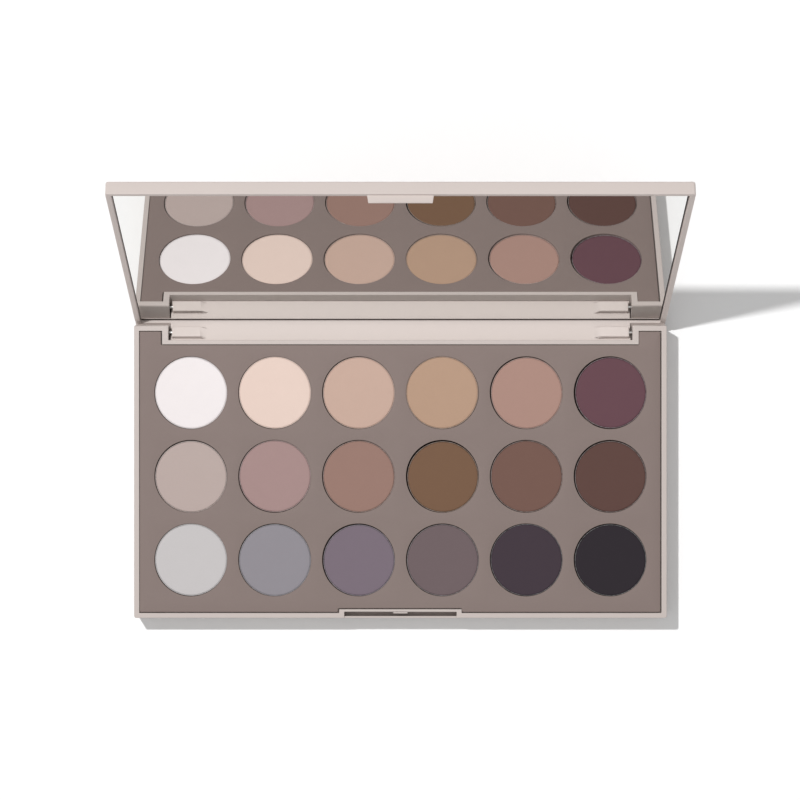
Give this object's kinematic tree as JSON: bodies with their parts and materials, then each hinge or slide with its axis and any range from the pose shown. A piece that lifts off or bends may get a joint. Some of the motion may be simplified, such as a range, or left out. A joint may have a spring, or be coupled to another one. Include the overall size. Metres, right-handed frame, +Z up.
{
  "type": "eyeshadow palette",
  "caption": "Slim rectangular eyeshadow palette with a full mirror in a hinged lid, round pressed powders in metal pans, and a snap latch in a narrow front slot.",
  "frame": {"origin": "centre of the base's underside, on the surface it stands on", "axes": "+X to the right along the width, +Y towards the hinge, -Y towards the latch, +Z up"},
  "size_m": [0.2, 0.1522, 0.1091],
  "materials": {
    "casing": "satin moulded plastic",
    "tray": "soft matt",
    "pan_metal": "drawn, bright",
    "pin_steel": "drawn wire",
    "mirror_silver": "polished",
    "adhesive": "foam tape",
    "powder_r1c1": "pressed powder",
    "powder_r1c2": "pressed powder",
    "powder_r1c3": "pressed powder",
    "powder_r1c4": "pressed powder",
    "powder_r1c5": "pressed powder",
    "powder_r1c6": "pressed powder",
    "powder_r2c1": "pressed powder",
    "powder_r2c2": "pressed powder",
    "powder_r2c3": "pressed powder",
    "powder_r2c4": "pressed powder",
    "powder_r2c5": "pressed powder",
    "powder_r2c6": "pressed powder",
    "powder_r3c1": "pressed powder",
    "powder_r3c2": "pressed powder",
    "powder_r3c3": "pressed powder",
    "powder_r3c4": "pressed powder",
    "powder_r3c5": "pressed powder",
    "powder_r3c6": "pressed powder"
  },
  "bodies": {
    "base": {"base_shell": "casing", "pan_tray": "tray", "hinge_pin_left": "pin_steel", "hinge_pin_right": "pin_steel", "pan_r1c1": "pan_metal", "pan_r1c2": "pan_metal", "pan_r1c3": "pan_metal", "pan_r1c4": "pan_metal", "pan_r1c5": "pan_metal", "pan_r1c6": "pan_metal", "pan_r2c1": "pan_metal", "pan_r2c2": "pan_metal", "pan_r2c3": "pan_metal", "pan_r2c4": "pan_metal", "pan_r2c5": "pan_metal", "pan_r2c6": "pan_metal", "pan_r3c1": "pan_metal", "pan_r3c2": "pan_metal", "pan_r3c3": "pan_metal", "pan_r3c4": "pan_metal", "pan_r3c5": "pan_metal", "pan_r3c6": "pan_metal", "powder_r1c1": "powder_r1c1", "powder_r1c2": "powder_r1c2", "powder_r1c3": "powder_r1c3", "powder_r1c4": "powder_r1c4", "powder_r1c5": "powder_r1c5", "powder_r1c6": "powder_r1c6", "powder_r2c1": "powder_r2c1", "powder_r2c2": "powder_r2c2", "powder_r2c3": "powder_r2c3", "powder_r2c4": "powder_r2c4", "powder_r2c5": "powder_r2c5", "powder_r2c6": "powder_r2c6", "powder_r3c1": "powder_r3c1", "powder_r3c2": "powder_r3c2", "powder_r3c3": "powder_r3c3", "powder_r3c4": "powder_r3c4", "powder_r3c5": "powder_r3c5", "powder_r3c6": "powder_r3c6"},
    "lid": {"lid_shell": "casing", "mirror": "mirror_silver", "mirror_adhesive": "adhesive"}
  },
  "joints": [
    {"name": "lid_hinge", "type": "hinge", "parent": "base", "child": "lid", "pos_m": [0, 0.0524, 0.0094], "axis": [1, 0, 0], "range_deg": [0, 110]}
  ]
}
